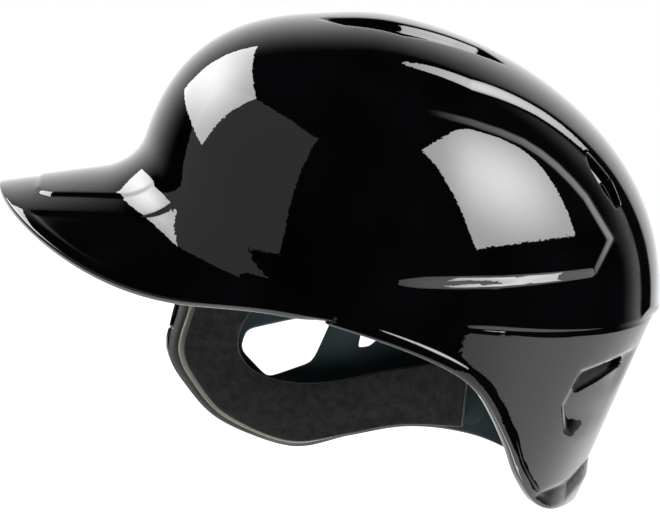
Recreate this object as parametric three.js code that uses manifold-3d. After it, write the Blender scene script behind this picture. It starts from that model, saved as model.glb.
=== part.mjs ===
// A one-flap batting helmet: a moulded plastic shell with a brim and a right ear flap,
// lined with foam pads that are held by hook-and-loop patches.
//
// Frame, in millimetres: the origin is the middle of the dome's widest level, where the
// head sits. The brim points to -X, the back is +X, the ear flap is on +Y and the crown is +Z.
import * as THREE from 'three';
import { mergeVertices } from 'three/addons/utils/BufferGeometryUtils.js';
import Module from 'manifold-3d';

const wasm = await Module();
wasm.setup();

// ---------------------------------------------------------------- driving dimensions
const WALL = 3.6;              // shell thickness
const GAP = 0.3;               // clearance between pieces that touch
const DOME_LENGTH = 119.4;     // half length of the dome at its widest level
const DOME_WIDTH = 98;         // half width there
const DOME_HEIGHT = 125.4;     // crown above the widest level
const PLAN_POWER = 2.15;       // squareness of the plan
const SIDE_POWER = 2.13;       // squareness of the side view
const CROWN_SHIFT = [5.6, -35.4];   // how the level sections slide forward as they rise
const BRIM_REACH = 54.3;       // brim length ahead of the dome
const BRIM_FADE = [1.1, 2.4];  // how fast the brim narrows towards the sides
const BRIM_TOP = { z: 50, rise: 0.127, tip: -173.7, droop: 0.0061 };
const FILLET = 16;             // reach of the hollow between dome and brim
const CREASE_Z = [0.5, -8];    // height of the side crease at the ears and at the back
const SKIRT_SLOPE = [0.05, 0.43];   // how the skirt leans in below the crease, side and back
const POD_RAISE = 3;           // the raised side fields
const PANEL_RAISE = 2.2;       // the raised strip over crown and back
const PANEL_HALF = 37;
const PATCH = 1.4;             // hook-and-loop thickness

// Lower edge of the shell in side view: x, z, and the azimuth of the crease point above it.
const LEFT_EDGE = [
  [-28.4, 0.5, 76], [-4.9, -7, 87], [14.3, -14.6, 97], [29.3, -22.7, 107], [38.7, -31.7, 114],
  [45.1, -42.9, 120], [51.2, -56.6, 126], [56.3, -70.9, 133], [65, -85.4, 144], [74.9, -90.4, 158],
  [84.3, -91, 180],
];
const RIGHT_EDGE = [
  [-107.1, 13.9, 38], [-99, 2, 40], [-97.5, -18, 43], [-103, -38, 46], [-94.6, -55.4, 50],
  [-76.7, -74.4, 57], [-45, -86.8, 69], [-17, -82, 80], [11.3, -77.8, 95], [44.3, -80.6, 120],
  [72.3, -89, 148], [84.3, -91, 180],
];
const BRIM_SPAN = [LEFT_EDGE[0][2], RIGHT_EDGE[0][2]];

const COLUMNS = { left: 22, brim: 28, right: 34 };
const DOME_ROWS = 18;
const SKIRT_ROWS = 7;

// ---------------------------------------------------------------- small helpers
const rad = THREE.MathUtils.degToRad;
const smooth = (a, b, x) => THREE.MathUtils.smoothstep(x, a, b);
const mix = THREE.MathUtils.lerp;

/** Root of a falling or rising function between two values. */
function solve(f, a, b) {
  const sign = Math.sign(f(a)) || 1;
  let lo = a;
  let hi = b;
  for (let i = 0; i < 40; i += 1) {
    const mid = (lo + hi) / 2;
    if (Math.sign(f(mid)) === sign) lo = mid;
    else hi = mid;
  }
  return (lo + hi) / 2;
}

/** A smooth curve through a list of points of any dimension, t from 0 to 1. */
function through(points, t) {
  const s = Math.min(t, 1 - 1e-9) * (points.length - 1);
  const i = Math.floor(s);
  const f = s - i;
  const at = (k) => points[THREE.MathUtils.clamp(k, 0, points.length - 1)];
  const [a, b, c, d] = [at(i - 1), at(i), at(i + 1), at(i + 2)];
  return b.map((_, k) => {
    const m0 = (c[k] - a[k]) / 2;
    const m1 = (d[k] - b[k]) / 2;
    return b[k] + f * (m0 + f * (3 * (c[k] - b[k]) - 2 * m0 - m1 + f * (2 * (b[k] - c[k]) + m0 + m1)));
  });
}

// ---------------------------------------------------------------- the shell's smooth surface
/** Plan radius of the dome's widest level at an azimuth in degrees, 0 = front, + = right. */
function planRadius(az) {
  const c = Math.abs(Math.cos(rad(az))) / DOME_LENGTH;
  const s = Math.abs(Math.sin(rad(az))) / DOME_WIDTH;
  return (c ** PLAN_POWER + s ** PLAN_POWER) ** (-1 / PLAN_POWER);
}

/** Dome point at an azimuth; q is 0 at the crown and PI/2 at the widest level. */
function domePoint(az, q) {
  const up = q < Math.PI / 2 ? Math.cos(q) ** (2 / SIDE_POWER) : 0;
  const out = q < Math.PI / 2 ? Math.sin(q) ** (2 / SIDE_POWER) : 1;
  const below = Math.max(0, q - Math.PI / 2) * 60;
  const shift = CROWN_SHIFT[0] * up + CROWN_SHIFT[1] * up * up;
  const r = out * planRadius(az);
  return new THREE.Vector3(
    shift - r * Math.cos(rad(az)),
    r * Math.sin(rad(az)),
    DOME_HEIGHT * up - below,
  );
}

const brimTop = (x, y) => BRIM_TOP.z + BRIM_TOP.rise * (x - BRIM_TOP.tip) - BRIM_TOP.droop * y * y;
const creaseHeight = (az) => mix(CREASE_Z[0], CREASE_Z[1], smooth(85, 150, Math.abs(az)));

/** Height of the brim's top, turning into the crease along the sides and the back. */
function lineHeight(x, y, az) {
  return mix(brimTop(x, y), creaseHeight(az), smooth(48, 82, Math.abs(az)));
}

function lineRadius(az) {
  const a = Math.min(Math.abs(az) * BRIM_FADE[0], 90);
  return planRadius(az) + BRIM_REACH * Math.cos(rad(a)) ** BRIM_FADE[1];
}

/** The line round the helmet: the brim's edge in front, the crease behind. */
function linePoint(az) {
  const r = lineRadius(az);
  const x = -r * Math.cos(rad(az));
  const y = r * Math.sin(rad(az));
  return new THREE.Vector3(x, y, lineHeight(x, y, az));
}

/** Point of the skirt or flap below the line. */
function skirtPoint(az, z) {
  const slope = mix(SKIRT_SLOPE[0], SKIRT_SLOPE[1], smooth(100, 165, Math.abs(az)));
  const r = lineRadius(az) - slope * (linePoint(az).z - z);
  return new THREE.Vector3(-r * Math.cos(rad(az)), r * Math.sin(rad(az)), z);
}

/** Section of the shell from crown to line, with the hollow between dome and brim. */
function section(az) {
  const height = (q) => {
    const p = domePoint(az, q);
    return p.z - lineHeight(p.x, p.y, az);
  };
  const end = solve(height, 0.3, Math.PI / 2 + 0.3);
  const root = domePoint(az, end);
  const tip = linePoint(az);
  const onBrim = (u) => {
    const p = root.clone().lerp(tip, u);
    return p.setZ(lineHeight(p.x, p.y, az));
  };
  const reach = Math.min(FILLET, 0.45 * root.distanceTo(tip));
  const from = end - reach / 115;
  const until = reach / Math.max(root.distanceTo(tip), 0.01);
  const start = domePoint(az, from);
  const stop = onBrim(until);
  const points = [];
  for (let i = 0; i <= 60; i += 1) points.push(domePoint(az, (from * i) / 60));
  for (let i = 1; i < 12; i += 1) {
    const t = i / 12;
    const a = start.clone().lerp(root, t);
    points.push(a.lerp(root.clone().lerp(stop, t), t));
  }
  for (let i = 0; i <= 24; i += 1) points.push(onBrim(mix(until, 1, i / 24)));
  return points;
}

/** The point at a fraction of a polyline's length. */
function along(points, fraction) {
  const lengths = [0];
  for (let i = 1; i < points.length; i += 1) {
    lengths.push(lengths[i - 1] + points[i].distanceTo(points[i - 1]));
  }
  const want = fraction * lengths.at(-1);
  let i = 1;
  while (i < points.length - 1 && lengths[i] < want) i += 1;
  const span = Math.max(lengths[i] - lengths[i - 1], 1e-9);
  return points[i - 1].clone().lerp(points[i], (want - lengths[i - 1]) / span);
}

/** Azimuth at which the skirt of one side passes an x at a height. */
function azimuthAt(x, z, side) {
  return side * solve((az) => skirtPoint(az, z).x - x, 20, 180);
}

/** One column of the shell: crown to line, then down the skirt to the edge. */
function column(az, edge) {
  const points = [];
  const profile = section(az);
  for (let i = 0; i <= DOME_ROWS; i += 1) points.push(along(profile, i / DOME_ROWS));
  const top = linePoint(az);
  for (let i = 1; i <= SKIRT_ROWS; i += 1) {
    if (!edge) points.push(top.clone());
    else points.push(skirtPoint(mix(az, edge.az, i / SKIRT_ROWS), mix(top.z, edge.z, i / SKIRT_ROWS)));
  }
  return points;
}

/** Values of t that space a side's columns evenly, counting both the line and the edge. */
function evenSteps(edgePoints, side, count) {
  const fine = 400;
  const place = (t) => {
    const [x, z, line] = through(edgePoints, t);
    return { top: linePoint(side * line), x, z };
  };
  const travelled = [0];
  let last = place(0);
  for (let i = 1; i <= fine; i += 1) {
    const next = place(i / fine);
    const edge = Math.hypot(next.x - last.x, next.z - last.z);
    travelled.push(travelled[i - 1] + next.top.distanceTo(last.top) + 0.6 * edge);
    last = next;
  }
  return Array.from({ length: count + 1 }, (_, k) => {
    const want = (travelled[fine] * k) / count;
    return travelled.findIndex((v) => v >= want - 1e-9) / fine;
  });
}

/** All the columns, from the back round by the left side, the brim and the right side. */
function shellColumns() {
  const skirted = (edgePoints, side) => (t) => {
    const [x, z, line] = through(edgePoints, t);
    const az = line > 179.9 ? side * 180 : azimuthAt(x, z, side);
    return column(side * line, t === 0 ? null : { az, z });
  };
  const left = evenSteps(LEFT_EDGE, -1, COLUMNS.left).reverse().map(skirted(LEFT_EDGE, -1));
  const right = evenSteps(RIGHT_EDGE, 1, COLUMNS.right).map(skirted(RIGHT_EDGE, 1));
  const brim = [];
  for (let i = 1; i < COLUMNS.brim; i += 1) {
    brim.push(column(mix(-BRIM_SPAN[0], BRIM_SPAN[1], i / COLUMNS.brim), null));
  }
  return [...left, ...brim, ...right.slice(0, -1)];
}

// ---------------------------------------------------------------- raised fields of the shell
const POD = [
  [4, 92], [33, 86], [62, 75], [77, 62], [86, 51], [98, 31], [89, 15.5], [47, 14.5], [-10, 15],
  [-10, 92],
];

/** Distance inside a closed outline, negative outside. */
function inside(outline, x, z) {
  let best = Infinity;
  let within = false;
  outline.forEach(([ax, az], i) => {
    const [bx, bz] = outline[(i + 1) % outline.length];
    const t = THREE.MathUtils.clamp(
      ((x - ax) * (bx - ax) + (z - az) * (bz - az)) / ((bx - ax) ** 2 + (bz - az) ** 2), 0, 1);
    best = Math.min(best, Math.hypot(x - mix(ax, bx, t), z - mix(az, bz, t)));
    if (az > z !== bz > z && x < ax + ((z - az) / (bz - az)) * (bx - ax)) within = !within;
  });
  return within ? best : -best;
}

/** How far the outer face stands proud of the smooth surface. */
function relief(p) {
  const pod = smooth(0, 6, inside(POD, p.x, p.z)) * smooth(-8, 30, p.x);
  const strip = 1 - smooth(PANEL_HALF - 3, PANEL_HALF + 3, Math.abs(p.y));
  const length = smooth(-45, -5, p.x) * smooth(-6, 0, p.z);
  return POD_RAISE * pod + PANEL_RAISE * strip * length;
}

// ---------------------------------------------------------------- solids
/** Triangles of a mesh whose vertices are shared, with the collapsed ones left out. */
function solidFrom(geometry) {
  geometry.deleteAttribute('normal');
  geometry.deleteAttribute('uv');
  const merged = mergeVertices(geometry, 1e-4);
  const index = merged.index.array;
  const kept = [];
  for (let i = 0; i < index.length; i += 3) {
    const [a, b, c] = [index[i], index[i + 1], index[i + 2]];
    if (a !== b && b !== c && c !== a) kept.push(a, b, c);
  }
  return new wasm.Manifold(new wasm.Mesh({
    numProp: 3,
    vertProperties: new Float32Array(merged.attributes.position.array),
    triVerts: new Uint32Array(kept),
  }));
}

function geometryFrom(solid) {
  const mesh = solid.getMesh();
  const geometry = new THREE.BufferGeometry();
  geometry.setAttribute('position', new THREE.BufferAttribute(mesh.vertProperties, 3));
  geometry.setIndex(new THREE.BufferAttribute(mesh.triVerts, 1));
  return geometry;
}

function plainGeometry(points, index) {
  const geometry = new THREE.BufferGeometry();
  geometry.setAttribute('position', new THREE.Float32BufferAttribute(points.flatMap((p) => p.toArray()), 3));
  geometry.setIndex(index);
  return geometry;
}

/** Closed wall between an outer and an inner grid of the shell. */
function shellSolid() {
  const columns = shellColumns();
  const rows = columns[0].length;
  const count = columns.length;
  const outerPoints = columns.flat();
  const quads = [];
  for (let c = 0; c < count; c += 1) {
    for (let r = 0; r < rows - 1; r += 1) {
      const a = c * rows + r;
      const b = ((c + 1) % count) * rows + r;
      quads.push(a, b, a + 1, a + 1, b, b + 1);
    }
  }
  const base = plainGeometry(outerPoints, quads);
  const welded = mergeVertices(base, 1e-4);
  welded.computeVertexNormals();
  const normalAt = new Map();
  const key = (p) => [p.x, p.y, p.z].map((v) => v.toFixed(3)).join();
  for (let i = 0; i < welded.attributes.position.count; i += 1) {
    const p = new THREE.Vector3().fromBufferAttribute(welded.attributes.position, i);
    normalAt.set(key(p), new THREE.Vector3().fromBufferAttribute(welded.attributes.normal, i));
  }
  const shifted = (amount) => outerPoints.map((p) => {
    const normal = normalAt.get(key(new THREE.Vector3(...p.toArray().map(Math.fround))));
    return p.clone().addScaledVector(normal, amount(p));
  });
  const points = [...shifted(relief), ...shifted(() => -WALL)];
  const size = outerPoints.length;
  const index = [...quads];
  for (let i = 0; i < quads.length; i += 3) {
    index.push(size + quads[i], size + quads[i + 2], size + quads[i + 1]);
  }
  for (let c = 0; c < count; c += 1) {
    const a = c * rows + rows - 1;
    const b = ((c + 1) % count) * rows + rows - 1;
    index.push(a, b, a + size, a + size, b, b + size);
  }
  return solidFrom(plainGeometry(points, index));
}

/** A straight prism through the wall: an outline drawn in a plane and pushed along its normal. */
function prism(outline, depth, place) {
  const shape = new THREE.Shape(outline.map(([x, y]) => new THREE.Vector2(x, y)));
  const geometry = new THREE.ExtrudeGeometry(shape, { depth, bevelEnabled: false });
  geometry.applyMatrix4(place);
  return solidFrom(geometry);
}

/** Matrix that puts a drawing plane at a point, x along one direction and y along another. */
function plane(at, xDirection, yDirection) {
  const x = new THREE.Vector3(...xDirection).normalize();
  const y = new THREE.Vector3(...yDirection);
  y.addScaledVector(x, -y.dot(x)).normalize();
  return new THREE.Matrix4().makeBasis(x, y, x.clone().cross(y)).setPosition(...at);
}

// Openings in side view, x and z. The first two go through the flap, the others through both sides.
const EAR_HOLE = [
  [-69, -41], [-66, -32], [-45, -27.5], [-30, -25], [-25.5, -27], [-33.4, -44.6], [-36.2, -48],
  [-53.6, -54], [-57, -53.7],
];
const SIDE_VENT = [[-13.2, -41], [-11, -30], [-1, -31], [-3.7, -37], [-8, -40.5]];
const LOW_SLOT = [[104, -24.5], [103, -28.7], [82.5, -34.9], [81.2, -33.6], [84.8, -27.6], [90.4, -25.9]];
const BACK_SLOT = [[90.5, 62], [97.4, 53], [102, 44], [99.1, 42.5], [92.1, 51], [88, 59]];
// The crown slots in plan, x and distance from the middle.
const CROWN_SLOT = [[6, 23.5], [34, 20.5], [35, 24], [10, 29]];

/** The openings through the shell, as one list of cutters. */
function shellCutters() {
  const fromSide = (side, start) => plane([0, side * start, 0], [-side, 0, 0], [0, 0, 1]);
  const drawn = (outline, side) => outline.map(([x, z]) => [-side * x, z]);
  const cutters = [
    prism(drawn(EAR_HOLE, 1), 70, fromSide(1, 55)),
    prism(drawn(SIDE_VENT, 1), 70, fromSide(1, 55)),
  ];
  for (const side of [-1, 1]) {
    cutters.push(prism(drawn(LOW_SLOT, side), 75, fromSide(side, 15)));
    cutters.push(prism(drawn(BACK_SLOT, side), 60, fromSide(side, 15)));
    const inPlan = CROWN_SLOT.map(([x, y]) => [x, side * y]);
    cutters.push(prism(inPlan, 40, plane([0, 0, 95], [1, 0, 0], [0, 1, 0])));
  }
  return cutters;
}

// ---------------------------------------------------------------- charts of the inner wall
/** Moves a point of the smooth outer surface inwards by a depth, whatever chart drew it. */
function inwards(chart, a, b, depth) {
  const step = 0.5;
  const p = chart(a, b);
  const u = chart(a + step, b).sub(chart(a - step, b));
  const v = chart(a, b + step).sub(chart(a, b - step));
  const normal = u.cross(v).normalize();
  const centre = new THREE.Vector3(0, 0, -20);
  if (normal.dot(centre.sub(p)) < 0) normal.negate();
  return p.addScaledVector(normal, depth);
}

/** Dome or skirt at an azimuth and a height. */
function roundChart(az, z) {
  if (z < creaseHeight(az)) return skirtPoint(az, z);
  const up = Math.max(0, z / DOME_HEIGHT);
  return domePoint(az, z > 0 ? Math.acos(up ** (SIDE_POWER / 2)) : Math.PI / 2 - z / 60);
}

/** Crown above a plan position. */
function topChart(x, y) {
  const over = (z) => {
    const up = z / DOME_HEIGHT;
    const out = (1 - up ** SIDE_POWER) ** (1 / SIDE_POWER);
    const shift = CROWN_SHIFT[0] * up + CROWN_SHIFT[1] * up * up;
    const inX = (Math.abs(x - shift) / DOME_LENGTH) ** PLAN_POWER;
    const inY = (Math.abs(y) / DOME_WIDTH) ** PLAN_POWER;
    return inX + inY - out ** PLAN_POWER;
  };
  return new THREE.Vector3(x, y, solve(over, 1, DOME_HEIGHT - 1e-6));
}

/** Flap at a side-view position. */
function flapChart(x, z) {
  return skirtPoint(azimuthAt(x, z, 1), z);
}

// ---------------------------------------------------------------- pads
/** Closed slab between two depths; place(u, v) gives chart coordinates for u, v from -1 to 1. */
function slab(chart, place, depths, cells) {
  const [nu, nv] = cells;
  const points = [];
  for (const depth of depths) {
    for (let i = 0; i <= nu; i += 1) {
      for (let j = 0; j <= nv; j += 1) {
        const [a, b] = place((2 * i) / nu - 1, (2 * j) / nv - 1);
        points.push(inwards(chart, a, b, depth));
      }
    }
  }
  const at = (k, i, j) => k * (nu + 1) * (nv + 1) + i * (nv + 1) + j;
  const index = [];
  const quad = (a, b, c, d) => index.push(a, b, c, a, c, d);
  for (let i = 0; i < nu; i += 1) {
    for (let j = 0; j < nv; j += 1) {
      quad(at(0, i, j), at(0, i + 1, j), at(0, i + 1, j + 1), at(0, i, j + 1));
      quad(at(1, i, j), at(1, i, j + 1), at(1, i + 1, j + 1), at(1, i + 1, j));
    }
    quad(at(0, i, 0), at(1, i, 0), at(1, i + 1, 0), at(0, i + 1, 0));
    quad(at(0, i, nv), at(0, i + 1, nv), at(1, i + 1, nv), at(1, i, nv));
  }
  for (let j = 0; j < nv; j += 1) {
    quad(at(0, 0, j), at(0, 0, j + 1), at(1, 0, j + 1), at(1, 0, j));
    quad(at(0, nu, j), at(1, nu, j), at(1, nu, j + 1), at(0, nu, j + 1));
  }
  const solid = solidFrom(plainGeometry(points, index));
  if (solid.volume() > 0) return geometryFrom(solid);
  const turned = [];
  for (let i = 0; i < index.length; i += 3) turned.push(index[i], index[i + 2], index[i + 1]);
  return geometryFrom(solidFrom(plainGeometry(points, turned)));
}

/** Rounded patch about a chart position. */
const rounded = (a, b, halfA, halfB) => (u, v) => [
  a + halfA * u * (1 - 0.16 * v ** 4),
  b + halfB * v * (1 - 0.16 * u ** 4),
];

/** Band between two curves of chart positions. */
const between = (outer, inner) => (u, v) => {
  const t = (u + 1) / 2;
  const [a0, b0] = through(outer, t);
  const [a1, b1] = through(inner, t);
  return [mix(a0, a1, (v + 1) / 2), mix(b0, b1, (v + 1) / 2)];
};

// Depths below the outer surface: the hook-and-loop patch, the firm foam, the comfort foam.
const FACET_ALLOWANCE = 0.35;   // how far flat facets stand inside the curved wall
const PATCH_START = WALL + GAP + FACET_ALLOWANCE;
const PATCH_DEPTH = [PATCH_START, PATCH_START + PATCH];
const layer = (start, thickness) => [start, start + thickness];
const FIRM_START = PATCH_DEPTH[1] + 1.5 * GAP;

// The ear pad's two borders in side view: along the flap's edge, and along the ear hole.
const EAR_PAD_OUTER = [
  [-93, -2], [-95, -18], [-100, -38], [-92, -54], [-75.5, -71.5], [-45, -83.5], [-17, -79], [11, -75],
  [42, -76],
];
const EAR_PAD_INNER = [
  [-56, -4], [-62, -18], [-71, -31], [-73, -42], [-66, -52], [-50, -58], [-30, -58.5], [2, -52.5],
  [40, -47],
];

const PADS = [
  { name: 'forehead', chart: roundChart, place: rounded(0, 82, 34, 15), firm: 9, comfort: 6,
    patches: [[-18, 82], [18, 82]] },
  { name: 'left_side', chart: roundChart, place: rounded(-84, 36, 25, 19), firm: 8, comfort: 5,
    patches: [[-84, 36]] },
  { name: 'right_side', chart: roundChart, place: rounded(84, 36, 25, 19), firm: 8, comfort: 5,
    patches: [[84, 36]] },
  { name: 'left_rear', chart: roundChart, place: rounded(-142, 28, 21, 20), firm: 8, comfort: 5,
    patches: [[-142, 28]] },
  { name: 'right_rear', chart: roundChart, place: rounded(142, 28, 21, 20), firm: 8, comfort: 5,
    patches: [[142, 28]] },
  { name: 'crown', chart: topChart, place: rounded(-34, 0, 34, 30), firm: 9, comfort: 6,
    patches: [[-34, 0]] },
];
const PATCH_HALF = { forehead: [6, 7], crown: [12, 12], other: [7, 9] };

const parts = [];
const add = (name, geometry, finish) => parts.push({ name, geometry, finish });

/** A pad of two foam layers, and the patches that hold it to the shell. */
function addPad({ name, chart, place, firm, comfort, patches }) {
  const face = FIRM_START + firm + GAP;
  add(`${name}_pad_base`, slab(chart, place, layer(FIRM_START, firm), [8, 6]), 'firm_foam');
  add(`${name}_pad_cushion`, slab(chart, place, layer(face, comfort), [8, 6]), 'soft_foam');
  const half = PATCH_HALF[name] ?? PATCH_HALF.other;
  patches.forEach(([a, b], i) => {
    const label = patches.length > 1 ? `_${i + 1}` : '';
    const geometry = slab(chart, rounded(a, b, ...half), PATCH_DEPTH, [3, 3]);
    add(`${name}_hook_patch${label}`, geometry, 'hook_tape');
  });
}

/** The nape pad wraps the inside of the neck skirt. */
function addNapePad() {
  const around = (az, z) => roundChart(180 - az, z);
  const place = rounded(0, -52, 41, 31);
  add('nape_pad_base', slab(around, place, layer(FIRM_START, 9), [12, 6]), 'firm_foam');
  add('nape_pad_cushion', slab(around, place, layer(FIRM_START + 9 + GAP, 4), [12, 6]), 'light_foam');
  for (const [i, az] of [-18, 18].entries()) {
    const geometry = slab(around, rounded(az, -52, 8, 10), PATCH_DEPTH, [3, 3]);
    add(`nape_hook_patch_${i + 1}`, geometry, 'hook_tape');
  }
}

/** The ear pad follows the flap's edge round the ear hole in three layers. */
function addEarPad() {
  const place = between(EAR_PAD_OUTER, EAR_PAD_INNER);
  const cells = [20, 3];
  const lining = FIRM_START + 6 + GAP;
  const cover = lining + 2 + GAP;
  add('ear_pad_base', slab(flapChart, place, layer(FIRM_START, 6), cells), 'firm_foam');
  add('ear_pad_lining', slab(flapChart, place, layer(lining, 2), cells), 'beige_foam');
  add('ear_pad_cover', slab(flapChart, place, layer(cover, 2), cells), 'brushed_fabric');
  for (const [i, at] of [[-80, -20], [-45, -71], [24, -65]].entries()) {
    const geometry = slab(flapChart, rounded(...at, 7, 7), PATCH_DEPTH, [3, 3]);
    add(`ear_pad_hook_patch_${i + 1}`, geometry, 'hook_tape');
  }
}

// ---------------------------------------------------------------- the helmet
function shellGeometry() {
  return geometryFrom(shellCutters().reduce((solid, cutter) => solid.subtract(cutter), shellSolid()));
}

const FINISHES = {
  gloss_black: { color: 0x050507, roughness: 0.06, metalness: 0 },
  firm_foam: { color: 0x26282b, roughness: 0.85, metalness: 0 },
  soft_foam: { color: 0x17181a, roughness: 0.95, metalness: 0 },
  light_foam: { color: 0x777a7d, roughness: 0.9, metalness: 0 },
  beige_foam: { color: 0xb7ac96, roughness: 0.9, metalness: 0 },
  brushed_fabric: { color: 0x101113, roughness: 1, metalness: 0 },
  hook_tape: { color: 0x0d0d0e, roughness: 0.8, metalness: 0 },
};

add('outer_shell', shellGeometry(), 'gloss_black');
PADS.forEach(addPad);
addNapePad();
addEarPad();

const helmet = new THREE.Group();
helmet.name = 'batting_helmet';
for (const { name, geometry, finish } of parts) {
  const mesh = new THREE.Mesh(geometry, new THREE.MeshStandardMaterial(FINISHES[finish]));
  mesh.name = name;
  helmet.add(mesh);
}

export default helmet;
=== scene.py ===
# %% [markdown]
# # A one-flap batting helmet
# The helmet is a glossy moulded shell with a brim and one ear flap, lined with foam pads that are
# held by hook-and-loop patches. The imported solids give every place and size. This lesson makes the
# fine shell, the pads and the finishes around them, one piece at a time.

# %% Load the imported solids
import math

import bpy
import numpy as np
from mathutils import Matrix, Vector


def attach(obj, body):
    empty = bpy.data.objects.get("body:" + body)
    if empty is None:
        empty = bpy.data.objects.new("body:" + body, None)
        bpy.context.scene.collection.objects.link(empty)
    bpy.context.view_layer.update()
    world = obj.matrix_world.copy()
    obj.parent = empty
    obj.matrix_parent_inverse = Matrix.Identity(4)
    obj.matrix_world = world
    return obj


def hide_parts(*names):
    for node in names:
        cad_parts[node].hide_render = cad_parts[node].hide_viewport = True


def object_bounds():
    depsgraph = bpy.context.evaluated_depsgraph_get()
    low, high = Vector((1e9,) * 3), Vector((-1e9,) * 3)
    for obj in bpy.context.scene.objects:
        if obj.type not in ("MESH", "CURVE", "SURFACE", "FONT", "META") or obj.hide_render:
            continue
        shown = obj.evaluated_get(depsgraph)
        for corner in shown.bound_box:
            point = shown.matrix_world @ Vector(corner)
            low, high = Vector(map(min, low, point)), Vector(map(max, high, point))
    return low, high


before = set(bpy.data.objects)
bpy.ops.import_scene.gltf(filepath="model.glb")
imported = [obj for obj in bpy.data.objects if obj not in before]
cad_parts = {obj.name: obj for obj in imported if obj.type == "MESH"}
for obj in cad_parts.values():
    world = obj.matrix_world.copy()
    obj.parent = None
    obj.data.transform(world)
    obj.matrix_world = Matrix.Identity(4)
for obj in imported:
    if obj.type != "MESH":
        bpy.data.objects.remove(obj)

cad_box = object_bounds()
bpy.ops.object.select_all(action="DESELECT")
print("nodes", len(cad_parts), "box", [round(v, 4) for corner in cad_box for v in corner])

# %% [markdown]
# ## Camera
# A long lens far away keeps the sides of the helmet straight, as in a catalogue picture. The camera
# stands on the helmet's left, a little above it.

# %% Camera
AIM = Vector((-0.0263, 0, 0.013))
DISTANCE = 1.9
HEIGHT_ANGLE = 8
SIDE_ANGLE = 0
WIDTH_IN_VIEW = 0.297
SENSOR = 36


def direction(azimuth, elevation):
    """Unit vector; azimuth 0 is -Y, turning towards +X."""
    a, e = math.radians(azimuth), math.radians(elevation)
    return Vector((math.sin(a) * math.cos(e), -math.cos(a) * math.cos(e), math.sin(e)))


towards = direction(SIDE_ANGLE, HEIGHT_ANGLE)
bpy.ops.object.camera_add(location=AIM + towards * DISTANCE)
camera = bpy.context.object
camera.rotation_euler = towards.to_track_quat("Z", "Y").to_euler()
camera.data.sensor_width = SENSOR
camera.data.lens = SENSOR * DISTANCE / WIDTH_IN_VIEW
bpy.context.scene.camera = camera
bpy.context.scene.view_settings.view_transform = "Standard"
print("lens", round(camera.data.lens), "mm")

# %% [markdown]
# ## Light
# A black gloss shows nothing but what it mirrors, so the lights are the picture. Two big softboxes
# give the bright windows on the dome, a dim card gives the grey field above the brim, and a bright
# wall behind the helmet draws its outline. The floor lies well below, so that it stays even.

# %% Softboxes and card
def node(tree, kind, **values):
    """New node; in_N sets its socket number N, anything else is a setting."""
    made = tree.nodes.new(kind)
    for key, value in values.items():
        if key.startswith("in_"):
            made.inputs[int(key[3:])].default_value = value
        else:
            setattr(made, key, value)
    return made


def softbox(name, azimuth, elevation, distance, size, radiance, roll=0, edge=1.0):
    """Flat light that faces the helmet; edge is how bright its rim is against its middle."""
    ahead = direction(azimuth, elevation)
    bpy.ops.object.light_add(type="AREA", location=ahead * distance)
    lamp = bpy.context.object
    lamp.name = name
    lamp.rotation_euler = ahead.to_track_quat("Z", "Y").to_euler()
    lamp.rotation_euler.rotate_axis("Z", math.radians(roll))
    lamp.visible_camera = False
    lamp.data.shape = "RECTANGLE"
    lamp.data.size, lamp.data.size_y = size
    lamp.data.energy = radiance * math.pi * size[0] * size[1]
    lamp.data.use_nodes = True
    tree = lamp.data.node_tree
    face = node(tree, "ShaderNodeNewGeometry")
    reach = node(tree, "ShaderNodeVectorMath", operation="DISTANCE", in_1=(0.5, 0.5, 0))
    tree.links.new(face.outputs["Parametric"], reach.inputs[0])
    fall = node(tree, "ShaderNodeMapRange", interpolation_type="SMOOTHSTEP", in_1=0.0, in_2=0.62, in_3=1.0, in_4=edge)
    tree.links.new(reach.outputs["Value"], fall.inputs[0])
    tree.links.new(fall.outputs[0], tree.nodes["Emission"].inputs["Strength"])
    print(name, round(lamp.data.energy), "W")
    return lamp


softbox("rear_softbox", 49, 38, 1.3, (1.18, 1.05), 17, roll=4, edge=0.5)
softbox("front_softbox", -107, 45, 1.3, (1.0, 0.78), 15, edge=0.6)
softbox("low_softbox", 45, -41, 0.7, (0.56, 0.15), 14, edge=0.6)
softbox("grey_card", -64, 31, 1.6, (1.85, 1.47), 0.6, roll=3)

# %% Sky
world = bpy.data.worlds.new("studio_sky")
bpy.context.scene.world = world
world.use_nodes = True
sky = world.node_tree
sky.nodes.clear()
WALL_START, WALL_FULL, WALL_GLOW = 0.3, 0.95, 1.6   # how far round the back a ray points, and the light there
place = node(sky, "ShaderNodeTexCoord")
parts = node(sky, "ShaderNodeSeparateXYZ")
sky.links.new(place.outputs["Generated"], parts.inputs[0])
fade = node(sky, "ShaderNodeMapRange", interpolation_type="SMOOTHSTEP",
            in_1=WALL_START, in_2=WALL_FULL, in_3=0.0, in_4=WALL_GLOW)
sky.links.new(parts.outputs["Y"], fade.inputs[0])
ray = node(sky, "ShaderNodeLightPath")
pick = node(sky, "ShaderNodeMix", data_type="FLOAT", in_3=1.0)
sky.links.new(ray.outputs["Is Camera Ray"], pick.inputs[0])
sky.links.new(fade.outputs[0], pick.inputs[2])
glow = node(sky, "ShaderNodeBackground", in_0=(1, 1, 1, 1))
sky.links.new(pick.outputs[0], glow.inputs[1])
out = node(sky, "ShaderNodeOutputWorld")
sky.links.new(glow.outputs[0], out.inputs[0])

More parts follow.
